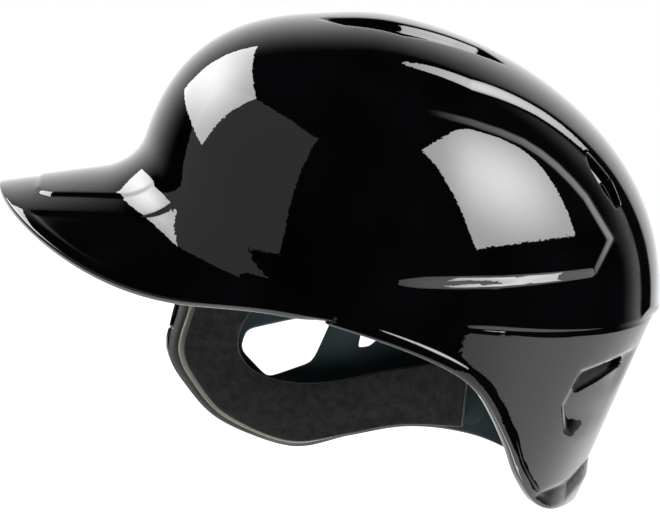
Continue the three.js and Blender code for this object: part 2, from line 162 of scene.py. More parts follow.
# %% Floor
FLOOR_DROP = 0.45
FLOOR_SIZE = (2.2, 5.75)
FLOOR_FRONT = -1.75
bpy.ops.mesh.primitive_plane_add(size=1, location=(0, FLOOR_FRONT + FLOOR_SIZE[1] / 2, cad_box[0].z - FLOOR_DROP))
bpy.ops.transform.resize(value=(*FLOOR_SIZE, 1))
floor = bpy.context.object
floor.name = "floor"
paint = bpy.data.materials.new("pale_floor")
paint.use_nodes = True
paint_shader = paint.node_tree.nodes["Principled BSDF"]
paint_shader.inputs["Base Color"].default_value = (0.5, 0.5, 0.5, 1)
paint_shader.inputs["Roughness"].default_value = 0.9
paint_shader.inputs["Emission Color"].default_value = (1, 1, 1, 1)
paint_shader.inputs["Emission Strength"].default_value = 0.95
print("floor", FLOOR_SIZE, "m")
floor.data.materials.append(paint)

# %% [markdown]
# ## The shell's smooth surface
# The real shell is one injection moulding. Its dome is a squared oval that slides forward as it
# rises, so the same few formulas that drew the solid draw it again here, in millimetres, but finely
# enough for a mirror finish. Everything below the line round the helmet is skirt or flap.

# %% Dome, brim line and skirt
DOME_LENGTH, DOME_WIDTH, DOME_HEIGHT = 119.4, 98, 125.4
PLAN_POWER, SIDE_POWER = 2.15, 2.13
CROWN_SHIFT = (5.6, -35.4)
BRIM_REACH = 54.3
BRIM_TIP_X, BRIM_TIP_Z = -173.7, 50
BRIM_RISE, BRIM_DROOP = 0.127, 0.0061   # slope along the brim, and how its sides curve down
CREASE_Z = (0.5, -8)                    # height of the crease, at the sides and at the back
SKIRT_SLOPE = (0.05, 0.43)              # how fast the skirt draws in, at the sides and at the back
UNDER_REACH = 60                        # mm that the dome's chart runs on below the widest level, per radian
FILLET = 16
WALL, THINNEST = 3.6, 2.0
MM = 0.001


def smooth_step(a, b, x):
    t = np.clip((x - a) / (b - a), 0, 1)
    return t * t * (3 - 2 * t)


def mix(a, b, t):
    return a + (b - a) * t


def stack(x, y, z):
    return np.stack(np.broadcast_arrays(x, y, z), axis=-1)


def plan_radius(azimuth):
    along = np.abs(np.cos(np.radians(azimuth))) / DOME_LENGTH
    across = np.abs(np.sin(np.radians(azimuth))) / DOME_WIDTH
    return (along**PLAN_POWER + across**PLAN_POWER) ** (-1 / PLAN_POWER)


def dome_point(azimuth, q):
    """q is 0 at the crown and a quarter turn at the widest level."""
    quarter = np.minimum(q, np.pi / 2)
    up = np.clip(np.cos(quarter), 0, 1) ** (2 / SIDE_POWER)
    out = np.sin(quarter) ** (2 / SIDE_POWER) * plan_radius(azimuth)
    turn = np.radians(azimuth)
    shift = CROWN_SHIFT[0] * up + CROWN_SHIFT[1] * up * up
    below = np.maximum(0, q - np.pi / 2) * UNDER_REACH
    return stack(shift - out * np.cos(turn), out * np.sin(turn), DOME_HEIGHT * up - below)


def crease_height(azimuth):
    return mix(*CREASE_Z, smooth_step(85, 150, np.abs(azimuth)))


def line_height(x, y, azimuth):
    brim = BRIM_TIP_Z + BRIM_RISE * (x - BRIM_TIP_X) - BRIM_DROOP * y * y
    return mix(brim, crease_height(azimuth), smooth_step(48, 82, np.abs(azimuth)))


def line_radius(azimuth):
    swing = np.radians(np.minimum(np.abs(azimuth) * 1.1, 90))
    return plan_radius(azimuth) + BRIM_REACH * np.cos(swing) ** 2.4


def line_point(azimuth):
    turn = np.radians(azimuth)
    x, y = -line_radius(azimuth) * np.cos(turn), line_radius(azimuth) * np.sin(turn)
    return stack(x, y, line_height(x, y, azimuth))


def skirt_point(azimuth, z):
    slope = mix(*SKIRT_SLOPE, smooth_step(100, 165, np.abs(azimuth)))
    radius = line_radius(azimuth) - slope * (line_point(azimuth)[..., 2] - z)
    turn = np.radians(azimuth)
    return stack(-radius * np.cos(turn), radius * np.sin(turn), z)


def solve(rising, low, high):
    """Where a rising function passes zero, for many values at once."""
    low, high = np.array(low, float), np.array(high, float)
    for _ in range(42):
        middle = (low + high) / 2
        positive = rising(middle) > 0
        high = np.where(positive, middle, high)
        low = np.where(positive, low, middle)
    return (low + high) / 2


def azimuth_at(x, z):
    """Azimuth, 20 to 180, at which the skirt passes an x at a height."""
    shape = np.broadcast(x, z).shape
    return solve(lambda a: skirt_point(a, z)[..., 0] - x, np.full(shape, 20.0), np.full(shape, 180.0))


def through(points, t):
    """Smooth curve through a list of points, t from 0 to 1."""
    points = np.asarray(points, float)
    s = np.clip(t, 0, 1 - 1e-9) * (len(points) - 1)
    i = np.floor(s).astype(int)
    f = (s - i)[..., None]
    a, b, c, d = (points[np.clip(i + k, 0, len(points) - 1)] for k in (-1, 0, 1, 2))
    m0, m1 = (c - a) / 2, (d - b) / 2
    return b + f * (m0 + f * (3 * (c - b) - 2 * m0 - m1 + f * (2 * (b - c) + m0 + m1)))


print("brim tip", line_point(np.array(0.0)).round(1), "back", line_point(np.array(180.0)).round(1))

# %% [markdown]
# ## Columns round the helmet
# The shell is laid out like a cut orange: columns run from the crown to the line and on down to the
# lower edge. A table of fine columns is worked out once, and any point of the sheet finds its place
# between two of them.

# %% Lower edges and the spacing of the columns
LEFT_EDGE = [
    [-28.4, 0.5, 76], [-4.9, -7, 87], [14.3, -14.6, 97], [29.3, -22.7, 107], [38.7, -31.7, 114],
    [45.1, -42.9, 120], [51.2, -56.6, 126], [56.3, -70.9, 133], [65, -85.4, 144],
    [74.9, -90.4, 158], [84.3, -91, 180],
]
RIGHT_EDGE = [
    [-107.1, 13.9, 38], [-99, 2, 40], [-97.5, -18, 43], [-103, -38, 46], [-94.6, -55.4, 50],
    [-76.7, -74.4, 57], [-45, -86.8, 69], [-17, -82, 80], [11.3, -77.8, 95], [44.3, -80.6, 120],
    [72.3, -89, 148], [84.3, -91, 180],
]
LEFT, BRIM, RIGHT = 60, 78, 102
COLUMNS = LEFT + BRIM + RIGHT
DOME_ROWS, SKIRT_ROWS = 54, 20
FINE = 8


def side_columns(edge, side, count):
    """Line azimuth, edge azimuth and edge height of evenly spaced columns, front to back."""
    t = np.linspace(0, 1, 1601)
    x, z, line = through(edge, t).T
    top = line_point(side * line)
    step = np.linalg.norm(np.diff(top, axis=0), axis=1) + 0.6 * np.hypot(np.diff(x), np.diff(z))
    travelled = np.concatenate([[0], np.cumsum(step)])
    t = np.interp(np.linspace(0, travelled[-1], count * FINE + 1), travelled, t)
    x, z, line = through(edge, t).T
    line[-1] = 180
    azimuth = azimuth_at(x, z)
    azimuth[-1] = 180
    azimuth[0], z[0] = line[0], line_point(side * line[0])[2]
    return side * line, side * azimuth, z


left_line, left_low, left_z = (v[::-1] for v in side_columns(LEFT_EDGE, -1, LEFT))
right_line, right_low, right_z = side_columns(RIGHT_EDGE, 1, RIGHT)
brim_line = np.linspace(left_line[-1], right_line[0], BRIM * FINE + 1)[1:-1]
col_line = np.concatenate([left_line, brim_line, right_line])
col_low = np.concatenate([left_low, brim_line, right_low])
col_z = np.concatenate([left_z, line_point(brim_line)[:, 2], right_z])
print("fine columns", len(col_line))

# %% Sections, crown to line
def section_ends(azimuth):
    """Where the dome meets the brim, and the ends of the hollow between them."""
    def under(q):
        p = dome_point(azimuth, q)
        return line_height(p[..., 0], p[..., 1], azimuth) - p[..., 2]
    end = solve(under, np.full(azimuth.shape, 0.3), np.full(azimuth.shape, np.pi / 2 + 0.3))
    root, tip = dome_point(azimuth, end), line_point(azimuth)
    span = np.linalg.norm(root - tip, axis=-1)
    reach = np.minimum(FILLET, 0.45 * span)
    return end, end - reach / 115, reach / np.maximum(span, 0.01)


def section_point(azimuth, end, leave, land, s):
    """s runs 0 to 1 on the dome, to 2 through the hollow and to 3 along the brim."""
    root, tip = dome_point(azimuth, end), line_point(azimuth)

    def on_brim(u):
        p = mix(root, tip, u[..., None])
        p[..., 2] = line_height(p[..., 0], p[..., 1], azimuth)
        return p
    start, stop = dome_point(azimuth, leave), on_brim(land)
    dome = dome_point(azimuth, leave * np.clip(s, 0, 1))
    t = np.clip(s - 1, 0, 1)[..., None]
    hollow = mix(mix(start, root, t), mix(root, stop, t), t)
    brim = on_brim(mix(land, 1, np.clip(s - 2, 0, 1)))
    return np.where((s < 1)[..., None], dome, np.where((s < 2)[..., None], hollow, brim))


SAMPLES = np.concatenate([np.linspace(0, 1, 61), np.linspace(1, 2, 13)[1:], np.linspace(2, 3, 25)[1:]])
FRACTIONS = np.linspace(0, 1, 257)
col_end, col_leave, col_land = section_ends(col_line)
grid = section_point(*(v[:, None] for v in (col_line, col_end, col_leave, col_land)), SAMPLES[None, :])
lengths = np.concatenate([np.zeros((len(col_line), 1)),
                          np.cumsum(np.linalg.norm(np.diff(grid, axis=1), axis=2), axis=1)], axis=1)
col_length = lengths[:, -1]
col_s = np.array([np.interp(FRACTIONS * row[-1], row, SAMPLES) for row in lengths])
col_tip = line_point(col_line)
col_foot = np.where((col_line == col_low)[:, None], col_tip, skirt_point(col_low, col_z))
col_drop = np.linalg.norm(col_foot - col_tip, axis=1)


def across(path, towards_path):
    """Sine of the angle at which the columns meet a line that runs across them."""
    run = np.gradient(path, axis=0)
    run /= np.maximum(np.linalg.norm(run, axis=1, keepdims=True), 1e-9)
    lean = towards_path / np.maximum(np.linalg.norm(towards_path, axis=1, keepdims=True), 1e-9)
    return np.sqrt(np.clip(1 - (run * lean).sum(1) ** 2, 0.02, 1))


col_meets_edge = across(col_foot, col_foot - skirt_point(mix(col_line, col_low, 0.9), mix(col_tip[:, 2], col_z, 0.9)))
col_meets_tip = across(col_tip, col_tip - grid[:, -4])
print("longest section", col_length.max().round(1), "mm, longest skirt", col_drop.max().round(1), "mm")


# %% Any point of the sheet
def between_columns(table, u):
    k = np.clip(np.floor(u * FINE).astype(int), 0, len(table) - 2)
    f = u * FINE - k
    return mix(table[k], table[k + 1], f if table.ndim == 1 else f[..., None])


LINE_ROUND = 1.6


def sheet_point(u, v):
    """Point of the smooth outer surface, and what the relief needs to know about it."""
    line, low, z_low = (between_columns(c, u) for c in (col_line, col_low, col_z))
    end, leave, land = (between_columns(c, u) for c in (col_end, col_leave, col_land))
    length, drop = between_columns(col_length, u), between_columns(col_drop, u)
    top = line_point(line)

    def section_at(fraction):
        k = np.clip(np.floor(u * FINE).astype(int), 0, len(col_s) - 2)
        f = u * FINE - k
        j = np.clip(np.floor(fraction * 256).astype(int), 0, 255)
        g = fraction * 256 - j
        s = mix(mix(col_s[k, j], col_s[k, j + 1], g), mix(col_s[k + 1, j], col_s[k + 1, j + 1], g), f)
        return section_point(line, end, leave, land, s), s

    def skirt_at(fraction):
        return skirt_point(mix(line, low, fraction), mix(top[..., 2], z_low, fraction))

    section, s = section_at(np.clip(v / DOME_ROWS, 0, 1))
    below = np.clip((v - DOME_ROWS) / SKIRT_ROWS, 0, 1)
    point = np.where((v > DOME_ROWS)[..., None], skirt_at(below), section)
    travel = np.where(v > DOME_ROWS, below * drop, -(1 - np.clip(v / DOME_ROWS, 0, 1)) * length)
    reach = np.minimum(LINE_ROUND, 0.45 * drop)
    near = (np.abs(travel) < reach) & (drop > 0.05)
    a, _ = section_at(1 - reach / length)
    b = skirt_at(reach / np.maximum(drop, 0.05))
    t = ((travel + reach) / np.maximum(2 * reach, 1e-6))[..., None]
    curve = mix(mix(a, top, t), mix(top, b, t), t)
    point = np.where(near[..., None], curve, point)
    facts = {
        "azimuth": line, "travel": travel, "s": np.where(v > DOME_ROWS, 4, s), "drop": drop,
        "from_edge": np.where(v > DOME_ROWS, (1 - below) * drop, drop - travel) * between_columns(col_meets_edge, u),
        "from_tip": np.abs(travel) * between_columns(col_meets_tip, u),
    }
    return point, facts


probe, _ = sheet_point(np.array([0.0, COLUMNS / 2, COLUMNS]), np.array([80.0, 30.0, 80.0]))
print("probe", probe.round(2).tolist())

# %% [markdown]
# ## Relief of the shell
# The moulding is not plain: raised fields on both sides, a raised strip over the crown and down the
# back, hollows that lead to the vents, a stepped brim, a band along the lower edge and a pinched
# crease. Each is a height above the smooth surface, found from how far a point lies inside an
# outline, with straight chamfers whose corners are only just rounded.

# %% Heights from outlines
def outline_depth(outline, x, z):
    """Distance inside a closed outline, negative outside."""
    best = np.full(np.shape(x), np.inf)
    within = np.zeros(np.shape(x), bool)
    for (ax, az), (bx, bz) in zip(outline, outline[1:] + outline[:1]):
        t = np.clip(((x - ax) * (bx - ax) + (z - az) * (bz - az)) / ((bx - ax) ** 2 + (bz - az) ** 2), 0, 1)
        best = np.minimum(best, np.hypot(x - ax - t * (bx - ax), z - az - t * (bz - az)))
        if az != bz:
            within ^= ((az > z) != (bz > z)) & (x < ax + (z - az) / (bz - az) * (bx - ax))
    return np.where(within, best, -best)


def chamfer(depth, width, rounding):
    """0 outside, 1 inside, straight between, with rounded corners."""
    def corner(d):
        return 0.5 * (d + np.sqrt(d * d + rounding * rounding))
    return (corner(depth) - corner(depth - width)) / width


SIDE_FIELD = [(4, 92), (20, 89.4), (35, 85.2), (48, 80.6), (58, 76), (66, 70.8), (73, 65), (80, 58), (86, 51),
              (98, 31), (89, 15.5), (47, 14.5), (-20, 15.5), (-20, 93)]
CROWN_HOLLOW = [(-36, 15), (-20, 18), (5, 19.5), (28, 17.5), (39, 17), (49, 22.5), (39, 26), (28, 28.5),
                (5, 33), (-20, 27)]
LOW_HOLLOW = [(112, -20.6), (105, -21.4), (83, -25.2), (75, -40.5), (76, -53), (84, -66), (112, -66)]
BRIM_PLATE = [(-157, -22), (-155, -28), (-150, -31.5), (-116, -41), (-90, -48), (-90, 48), (-116, 41), (-150, 31.5),
              (-155, 28), (-157, 22)]

# %% Openings
EAR_HOLE = [(-69, -41), (-66, -32), (-45, -27.5), (-30, -25), (-25.5, -27), (-33.4, -44.6), (-36.2, -48),
            (-53.6, -54), (-57, -53.7)]
SIDE_VENT = [(-13.2, -41), (-11, -30), (-1, -31), (-3.7, -37), (-8, -40.5)]
LOW_SLOT = [(104, -24.2), (103.2, -29), (82.5, -36), (80.6, -34.4), (84.8, -27.4), (90.4, -25.9)]
BACK_SLOT = [(41, 67), (39.2, 54.5), (40.6, 44), (45.4, 43), (47.6, 51), (46, 60.5)]
CROWN_SLOT = [(6, 23.5), (34, 20.5), (35, 24), (10, 29)]


def round_corners(outline, radius, steps=5):
    """The outline with each corner replaced by a small curve."""
    made = []
    for i, corner in enumerate(outline):
        p, before, after = (np.array(outline[k % len(outline)], float) for k in (i, i - 1, i + 1))
        ends = []
        for other in (before, after):
            run = np.linalg.norm(other - p)
            ends.append(p + (other - p) * min(radius, 0.4 * run) / run)
        for t in np.linspace(0, 1, steps):
            a, b = mix(ends[0], p, t), mix(p, ends[1], t)
            made.append(tuple(mix(a, b, t)))
    return made


# name: outline, which axes draw it, which part of the shell it is cut in
OPENINGS = {
    "ear": (round_corners(EAR_HOLE, 4), "xz", lambda p: p[..., 1] > 40),
    "side_vent": (round_corners(SIDE_VENT, 1.5), "xz", lambda p: p[..., 1] > 40),
    "low_slot": (round_corners(LOW_SLOT, 1), "xz", lambda p: (p[..., 0] > 60) & (abs(p[..., 1]) > 12)),
    "back_slot": (round_corners(BACK_SLOT, 1), "yz", lambda p: p[..., 0] > 40),
    "crown_slot": (round_corners(CROWN_SLOT, 1.5), "xy", lambda p: p[..., 2] > 70),
}


def opening_depth(name, p):
    outline, axes, part = OPENINGS[name]
    first, second = (abs(p[..., "xyz".index(axis)]) if axis == "y" else p[..., "xyz".index(axis)] for axis in axes)
    return np.where(part(p), outline_depth(outline, first, second), -99.0)


# %% Relief
FIELD_RISE, STRIP_RISE, PLATE_RISE, BAND_RISE = 3.0, 2.4, 0.8, 0.8
CROWN_SINK, LOW_SINK, FACET_SINK, CREASE_SINK, EAR_SINK = 4.5, 1.6, 0.6, 0.45, 0.8
BAND_WIDTH = 4.7


def relief(p, facts):
    """Height of the moulding above the smooth surface."""
    x, y, z = p[..., 0], abs(p[..., 1]), p[..., 2]
    azimuth = abs(facts["azimuth"])
    height = FIELD_RISE * chamfer(outline_depth(SIDE_FIELD, x, z) - 0.4, 4.8, 0.5) * smooth_step(-16, 34, x)

    # raised strip over the crown and down the back
    half = np.interp(x, [35, 65, 94, 119], [49, 42, 37, 35])
    strip = np.minimum(half + 6 - y, z + mix(14, 8, np.clip(y / half, 0, 1)))
    height += STRIP_RISE * chamfer(strip - 2, 3.8, 0.6) * smooth_step(-38, 4, x)

    # hollows of the crown slots and the low slots
    crown = outline_depth(CROWN_HOLLOW, x, y) - 99 * (z < 60)
    height -= CROWN_SINK * chamfer(crown, 2.4, 0.6) * smooth_step(-36, -8, x)
    low = outline_depth(LOW_HOLLOW, x, z) - 99 * (y < 12)
    faded = (1 - smooth_step(32, 44, -z) * smooth_step(84, 102, x)) * (1 - smooth_step(46, 60, -z))
    height -= LOW_SINK * chamfer(low, 1.8, 0.5) * (faded * smooth_step(24, 38, y))

    # plate and side facets of the brim
    on_brim = smooth_step(1.0, 1.7, facts["s"]) * (facts["s"] < 3.5)
    plate = outline_depth(BRIM_PLATE, x, p[..., 1])
    height += PLATE_RISE * chamfer(plate, 1.6, 0.5) * (1 - smooth_step(-106, -94, x)) * on_brim
    facet = np.minimum(y - 40.3 - 0.242 * (x + 163.5), facts["from_tip"] - 4.5)
    height -= FACET_SINK * chamfer(facet, 1.4, 0.5) * (1 - smooth_step(-97, -85, x)) * on_brim

    # band along the lower edge, and the pinched crease
    band = chamfer(BAND_WIDTH - facts["from_edge"], 1.0, 0.4) * smooth_step(1, 8, facts["drop"])
    height += BAND_RISE * band * (1 - smooth_step(140, 152, azimuth))
    crease = np.exp(-((facts["travel"] - 0.2) / 0.6) ** 2) * (facts["drop"] > 6)
    height -= CREASE_SINK * crease * smooth_step(104, 118, azimuth)

    # rolled lip at the nape, and the step round the ear hole
    lip = np.interp(y, [0, 15, 36, 75], [-73, -73, -80.6, -81.5]) - z
    lip_height = 2.3 * smooth_step(0, 9, lip) - 0.9 * np.exp(-((lip / 0.9) ** 2))
    height += lip_height * smooth_step(138, 150, azimuth) * (facts["s"] > 3.5)
    ear = np.where(p[..., 1] > 40, outline_depth(EAR_HOLE, x, z), -99)
    return height - EAR_SINK * chamfer(ear + 7, 2, 0.5)


# %% [markdown]
# ## Cutting the sheet
# The sheet starts as a flat grid whose squares stand for columns and rows. It is cut finer only
# where the relief bends or an opening is cut, so the shell keeps crisp lines without a heavy mesh.
# Faces inside the openings are deleted, and the sheet is then bent into shape by moving each corner
# to its place.

# %% Flat sheet
def edit(piece, kind, chosen, step):
    """Runs an edit-mode operator on the chosen faces or vertices of a piece."""
    bpy.ops.object.select_all(action="DESELECT")
    piece.select_set(True)
    bpy.context.view_layer.objects.active = piece
    bpy.ops.object.mode_set(mode="EDIT")
    bpy.ops.mesh.select_mode(type={"polygons": "FACE", "edges": "EDGE", "vertices": "VERT"}[kind])
    bpy.ops.mesh.select_all(action="DESELECT")
    bpy.ops.object.mode_set(mode="OBJECT")
    getattr(piece.data, kind).foreach_set("select", np.asarray(chosen, bool))
    bpy.ops.object.mode_set(mode="EDIT")
    step()
    bpy.ops.object.mode_set(mode="OBJECT")


def corners_of(mesh):
    values = np.empty(len(mesh.vertices) * 3, np.float32)
    mesh.vertices.foreach_get("co", values)
    return values.reshape(-1, 3).astype(float)


def set_corners(mesh, values):
    mesh.vertices.foreach_set("co", np.ascontiguousarray(values, dtype=np.float32).ravel())
    mesh.update()


ROWS = DOME_ROWS + SKIRT_ROWS
bpy.ops.mesh.primitive_grid_add(x_subdivisions=COLUMNS, y_subdivisions=ROWS, size=2)
shell = bpy.context.object
shell.name = shell.data.name = "helmet_shell"
flat = corners_of(shell.data)
set_corners(shell.data, stack((flat[:, 0] + 1) / 2 * COLUMNS, (flat[:, 1] + 1) / 2 * ROWS, 0))


def face_boxes(mesh):
    """Lowest and highest u and v of each face."""
    order = np.empty(len(mesh.loops), np.int32)
    mesh.loops.foreach_get("vertex_index", order)
    start = np.empty(len(mesh.polygons), np.int32)
    mesh.polygons.foreach_get("loop_start", start)
    at = corners_of(mesh)[order, :2]
    return np.minimum.reduceat(at, start), np.maximum.reduceat(at, start)


low, high = face_boxes(shell.data)
middle = (low + high) / 2
under_brim = (middle[:, 0] > LEFT) & (middle[:, 0] < LEFT + BRIM) & (middle[:, 1] > DOME_ROWS)
edit(shell, "polygons", under_brim, lambda: bpy.ops.mesh.delete(type="FACE"))
print("sheet", len(shell.data.polygons), "faces")

# %% Cut finer where the relief bends
STEPS = np.linspace(-0.5, 0.5, 5)
SPREAD = np.stack(np.meshgrid(STEPS, STEPS, indexing="ij"), -1).reshape(-1, 2)
FLAT_FIT = np.column_stack([np.ones(len(SPREAD)), SPREAD])
FLAT_FIT = np.eye(len(SPREAD)) - FLAT_FIT @ np.linalg.pinv(FLAT_FIT)


def faces_that_bend(mesh, margin, tolerance, opening_margin, widest):
    """Faces of the sheet over which the relief isn't flat, or that touch an opening's outline."""
    low, high = face_boxes(mesh)
    size = high - low
    spots = (low + high)[:, None] / 2 + SPREAD[None] * size[:, None] * margin
    at_seam = (low[:, 0] < 1e-4) | (high[:, 0] > COLUMNS - 1e-4)
    spots[at_seam, :, 0] = 0
    spots[..., 0] = np.clip(spots[..., 0], 0, COLUMNS)
    spots[..., 1] = np.clip(spots[..., 1], 0, ROWS)
    p, facts = sheet_point(spots[..., 0], spots[..., 1])
    height = relief(p, facts)
    bends = abs(height @ FLAT_FIT.T).max(axis=1) > tolerance
    for name in OPENINGS:
        depth = opening_depth(name, p)
        bends |= (depth.max(axis=1) > -opening_margin) & (depth.min(axis=1) < opening_margin)
    return bends & (size[:, 0] < widest)


for margin, tolerance, opening_margin, widest in ((1.3, 0.06, 1.5, 9), (1.1, 0.04, 0.8, 0.6)):
    bends = faces_that_bend(shell.data, margin, tolerance, opening_margin, widest)
    edit(shell, "polygons", bends, lambda: bpy.ops.mesh.subdivide(number_cuts=1))
    print("cut", int(bends.sum()), "faces; now", len(shell.data.polygons))

# %% Delete the openings
low, high = face_boxes(shell.data)
middle = (low + high) / 2
p, facts = sheet_point(middle[:, 0], middle[:, 1])
RIM_ROUND = 0.9
SLOT_ROUND = 0.5
in_opening = np.zeros(len(p), bool)
for name in OPENINGS:
    in_opening |= opening_depth(name, p) > -SLOT_ROUND
edit(shell, "polygons", in_opening, lambda: bpy.ops.mesh.delete(type="FACE"))
print("deleted", int(in_opening.sum()), "faces")

# %% Bend the sheet
u, v = corners_of(shell.data)[:, :2].T
for name, values in (("u", u), ("v", v)):
    layer = shell.data.attributes.new(name, "FLOAT", "POINT")
    layer.data.foreach_set("value", values.astype(np.float32))
p, facts = sheet_point(u, v)
set_corners(shell.data, p * MM)
edit(shell, "vertices", np.ones(len(p)), lambda: bpy.ops.mesh.remove_doubles(threshold=0.02 * MM))
edit(shell, "vertices", np.ones(len(shell.data.vertices)),
     lambda: bpy.ops.mesh.dissolve_degenerate(threshold=0.01 * MM))


def read(mesh, name):
    values = np.empty(len(mesh.vertices), np.float32)
    mesh.attributes[name].data.foreach_get("value", values)
    return values.astype(float)


u, v = read(shell.data, "u"), read(shell.data, "v")
base, facts = sheet_point(u, v)
normals = np.empty(len(u) * 3, np.float32)
shell.data.vertex_normals.foreach_get("vector", normals)
normals = normals.reshape(-1, 3).astype(float)
height = relief(base, facts)
print("corners", len(u), "relief", height.min().round(2), "to", height.max().round(2), "mm")


# %% [markdown]
# ## Openings, inner face and rim
# The steps left where faces were deleted are drawn out to the true outlines. Then the shell gets its
# wall. The inner face follows the smooth surface, pushed in under the hollows so that the wall never
# gets thin, and a rounded rim of narrow faces joins the two along every edge.

# %% Draw the openings to their outlines
def edge_runs(mesh):
    """Directed edges that belong to one face only, as pairs of corners."""
    count = len(mesh.loops)
    start = np.empty(count, np.int64)
    mesh.loops.foreach_get("vertex_index", start)
    first = np.empty(len(mesh.polygons), np.int64)
    total = np.empty(len(mesh.polygons), np.int64)
    mesh.polygons.foreach_get("loop_start", first)
    mesh.polygons.foreach_get("loop_total", total)
    following = np.arange(1, count + 1)
    following[first + total - 1] = first
    end = start[following]
    key = np.minimum(start, end) * (len(mesh.vertices) + 1) + np.maximum(start, end)
    _, where, seen = np.unique(key, return_inverse=True, return_counts=True)
    alone = seen[where] == 1
    return np.column_stack([start[alone], end[alone]])


def nearest_on(outline, x, z):
    best, spot = np.full(len(x), np.inf), np.zeros((len(x), 2))
    for (ax, az), (bx, bz) in zip(outline, outline[1:] + outline[:1]):
        t = np.clip(((x - ax) * (bx - ax) + (z - az) * (bz - az)) / ((bx - ax) ** 2 + (bz - az) ** 2), 0, 1)
        at = np.column_stack([ax + t * (bx - ax), az + t * (bz - az)])
        gap = np.hypot(x - at[:, 0], z - at[:, 1])
        spot = np.where((gap < best)[:, None], at, spot)
        best = np.minimum(best, gap)
    return spot


runs = edge_runs(shell.data)
rim = np.unique(runs)
hole_corner = np.zeros(len(base), bool)
for name, (outline, axes, part) in OPENINGS.items():
    first_axis, second_axis = ("xyz".index(axis) for axis in axes)
    free = 3 - first_axis - second_axis
    close = rim[opening_depth(name, base[rim]) > -4]
    hole_corner[close] = True
    for _ in range(2):
        here, lean = base[close], normals[close]
        signs = np.ones_like(here)
        signs[:, 1] = np.where(here[:, 1] < 0, -1, 1) if "y" in axes else 1
        first, second = (here * signs)[:, first_axis], (here * signs)[:, second_axis]
        spot = nearest_on(outline, first, second)
        depth = outline_depth(outline, first, second)
        away = np.column_stack([first, second]) - spot
        away /= np.maximum(np.linalg.norm(away, axis=1, keepdims=True), 1e-6)
        spot += away * SLOT_ROUND * np.sign(-depth)[:, None]
        move = np.zeros((len(close), 3))
        move[:, first_axis] = (spot[:, 0] - first) * signs[:, first_axis]
        move[:, second_axis] = (spot[:, 1] - second) * signs[:, second_axis]
        steep = lean[:, free]
        steep = np.where(abs(steep) < 0.15, np.where(steep < 0, -0.15, 0.15), steep)
        slide = lean[:, first_axis] * move[:, first_axis] + lean[:, second_axis] * move[:, second_axis]
        move[:, free] = -slide / steep
        size = np.linalg.norm(move, axis=1, keepdims=True)
        base[close] += move * np.minimum(1, 2.5 / np.maximum(size, 1e-6))
height = np.where(hole_corner, relief(base, facts), height)
print("corners on openings", int(hole_corner.sum()))

# %% Outer and inner face
outer = base + normals * height[:, None]
inner = base - normals * np.maximum(WALL, THINNEST - height)[:, None]


def rim_directions(runs, points, normals):
    """Unit vectors that point off the sheet at its free edges."""
    out = np.zeros_like(points)
    step = points[runs[:, 1]] - points[runs[:, 0]]
    step /= np.maximum(np.linalg.norm(step, axis=1, keepdims=True), 1e-9)
    np.add.at(out, runs[:, 0], np.cross(step, normals[runs[:, 0]]))
    np.add.at(out, runs[:, 1], np.cross(step, normals[runs[:, 1]]))
    return out / np.maximum(np.linalg.norm(out, axis=1, keepdims=True), 1e-9)


off = rim_directions(runs, base, normals)
QUARTERS = np.radians([0, 30, 60, 90])
RIM_STEPS = 2 * len(QUARTERS)
rim_round = np.where(hole_corner, SLOT_ROUND, RIM_ROUND)[rim][:, None]
wall = (outer - inner)[rim]
thick = np.linalg.norm(wall, axis=1, keepdims=True)
across_wall = wall / thick
rings = []
for angle in QUARTERS:
    rings.append(outer[rim] + rim_round * (math.sin(angle) * off[rim] + (math.cos(angle) - 1) * across_wall))
for angle in QUARTERS[::-1]:
    rings.append(inner[rim] + rim_round * (math.sin(angle) * off[rim] - (math.cos(angle) - 1) * across_wall))

# %% Join them
count = len(base)
ring_number = np.full(count, -1)
ring_number[rim] = np.arange(len(rim))


def ring_corner(step, corner):
    """Mesh number of a rim corner; the first and last rings are the faces' own edges."""
    if step == 0:
        return corner
    if step == RIM_STEPS - 1:
        return corner + count
    return 2 * count + (step - 1) * len(rim) + ring_number[corner]


faces = [tuple(polygon.vertices) for polygon in shell.data.polygons]
faces += [tuple(count + corner for corner in reversed(face)) for face in faces]
for a, b in runs:
    for step in range(RIM_STEPS - 1):
        faces.append((int(ring_corner(step, b)), int(ring_corner(step, a)),
                      int(ring_corner(step + 1, a)), int(ring_corner(step + 1, b))))
points = np.concatenate([outer, inner, *rings[1:-1]]) * MM
sheet_mesh = shell.data
shell.data = bpy.data.meshes.new("helmet_shell")
shell.data.from_pydata(points.tolist(), [], faces)
inside = np.concatenate([np.zeros(count), np.ones(count), np.zeros(len(rim) * (RIM_STEPS - 2))])
shell.data.attributes.new("inside", "FLOAT", "POINT").data.foreach_set("value", inside)
bpy.data.meshes.remove(sheet_mesh)
edit(shell, "vertices", np.ones(len(points)), lambda: bpy.ops.mesh.remove_doubles(threshold=0.005 * MM))
bpy.ops.object.shade_smooth()
open_edges = len(edge_runs(shell.data))
triangles = sum(len(polygon.vertices) - 2 for polygon in shell.data.polygons)
print("shell", triangles, "triangles,", open_edges, "open edges")
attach(shell, "root")
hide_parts("outer_shell")

# %% [markdown]
# ## Gloss black
# The real finish is black plastic under a clear lacquer. The lacquer is not perfectly flat: it keeps
# a slight orange-peel ripple that bends the edges of the reflected windows, and it carries very fine
# wiping marks. Both are far too small for the mesh, so they are bump and roughness in the material.
# The inside has a bluer black, made paler by painted reflection that stands in for the light the glossy inner face
# catches; the attribute named inside turns it on for the inner face.

# %% Gloss black material
def finish(name, **sockets):
    """New material; returns it with its tree and its main shader."""
    material = bpy.data.materials.new(name)
    material.use_nodes = True
    tree = material.node_tree
    shader = tree.nodes["Principled BSDF"]
    for socket, value in sockets.items():
        shader.inputs[socket.replace("_", " ")].default_value = value
    return material, tree, shader


